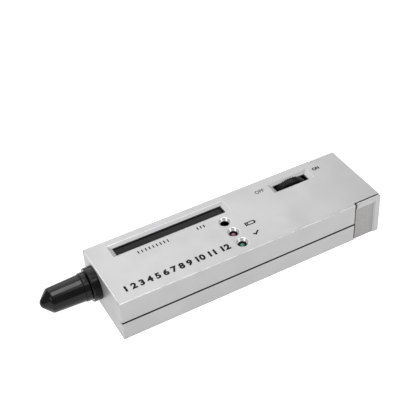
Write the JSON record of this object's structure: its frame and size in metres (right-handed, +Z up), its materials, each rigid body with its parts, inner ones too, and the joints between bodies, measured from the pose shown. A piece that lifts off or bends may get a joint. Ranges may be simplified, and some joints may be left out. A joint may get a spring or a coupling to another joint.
{
  "type": "hand-held gem tester",
  "caption": "Flat hand-held gem tester with a capped sprung probe, a long bar window, round lamp wells, a knurled thumbwheel switch and a sliding battery door.",
  "frame": {"origin": "centre of the housing's underside", "axes": "+X from the probe to the battery end, +Y to the side with the bar window, +Z up through the top with the thumbwheel"},
  "size_m": [0.1628, 0.04, 0.023],
  "materials": {
    "silver_plastic": "satin silver paint on moulded plastic",
    "black_plastic": "satin black",
    "dark_plastic": "matt black",
    "smoked_lens": "polished smoked strip",
    "green_lamp": "tinted lamp, unlit",
    "amber_lamp": "tinted lamp, unlit",
    "red_lamp": "tinted lamp, unlit",
    "steel": "plated",
    "tinned_wire": "tinned",
    "brass": "turned",
    "copper": "turned copper",
    "circuit_board": "lacquered board",
    "capacitor_sleeve": "sleeved",
    "resistor_body": "lacquered",
    "trimmer_blue": "moulded",
    "battery_jacket": "plain dark metal jacket",
    "red_wire": "insulation",
    "black_wire": "insulation",
    "grey_wire": "insulation"
  },
  "bodies": {
    "housing": {"upper_shell": "silver_plastic", "lower_shell": "silver_plastic", "case_screws": "steel", "bar_window": "smoked_lens", "bar_leds_green": "green_lamp", "bar_leds_amber": "amber_lamp", "bar_leds_red": "red_lamp", "low_battery_led": "red_lamp", "ready_led": "green_lamp", "led_legs": "tinned_wire", "buzzer": "dark_plastic", "switch_pot": "steel", "pot_terminals": "tinned_wire", "switch_board": "circuit_board", "main_board": "circuit_board", "board_screws": "steel", "bar_driver_chip": "dark_plastic", "amplifier_chip": "dark_plastic", "chip_pins": "tinned_wire", "capacitors": "capacitor_sleeve", "resistors": "resistor_body", "calibration_trimmer": "trimmer_blue", "battery": "battery_jacket", "battery_terminals": "steel", "battery_snap": "dark_plastic", "snap_contacts": "steel", "battery_lead_red": "red_wire", "battery_lead_black": "black_wire", "switch_leads": "grey_wire", "probe_leads": "red_wire", "probe_collar": "black_plastic", "probe_body": "dark_plastic", "probe_nut": "steel", "probe_ferrule": "brass", "probe_spring": "steel", "probe_plug": "dark_plastic"},
    "wheel": {"thumbwheel": "black_plastic", "wheel_screw": "steel", "pot_shaft": "brass"},
    "cap": {"probe_cap": "black_plastic"},
    "door": {"battery_door": "silver_plastic"},
    "plunger": {"probe_tip": "copper", "tip_thermistor": "dark_plastic"}
  },
  "joints": [
    {"name": "wheel_turn", "type": "hinge", "parent": "housing", "child": "wheel", "pos_m": [0.0378, 0.0115, 0.01285], "axis": [0, 1, 0], "range_deg": [0, 270]},
    {"name": "cap_pull", "type": "slide", "parent": "housing", "child": "cap", "axis": [-1, 0, 0], "range_m": [0, 0.03]},
    {"name": "door_slide", "type": "slide", "parent": "housing", "child": "door", "axis": [1, 0, 0], "range_m": [0, 0.03]},
    {"name": "tip_press", "type": "slide", "parent": "housing", "child": "plunger", "axis": [1, 0, 0], "range_m": [0, 0.001], "stiffness_N_per_m": 300, "springref_m": -0.001, "deforming": ["probe_spring"]}
  ]
}
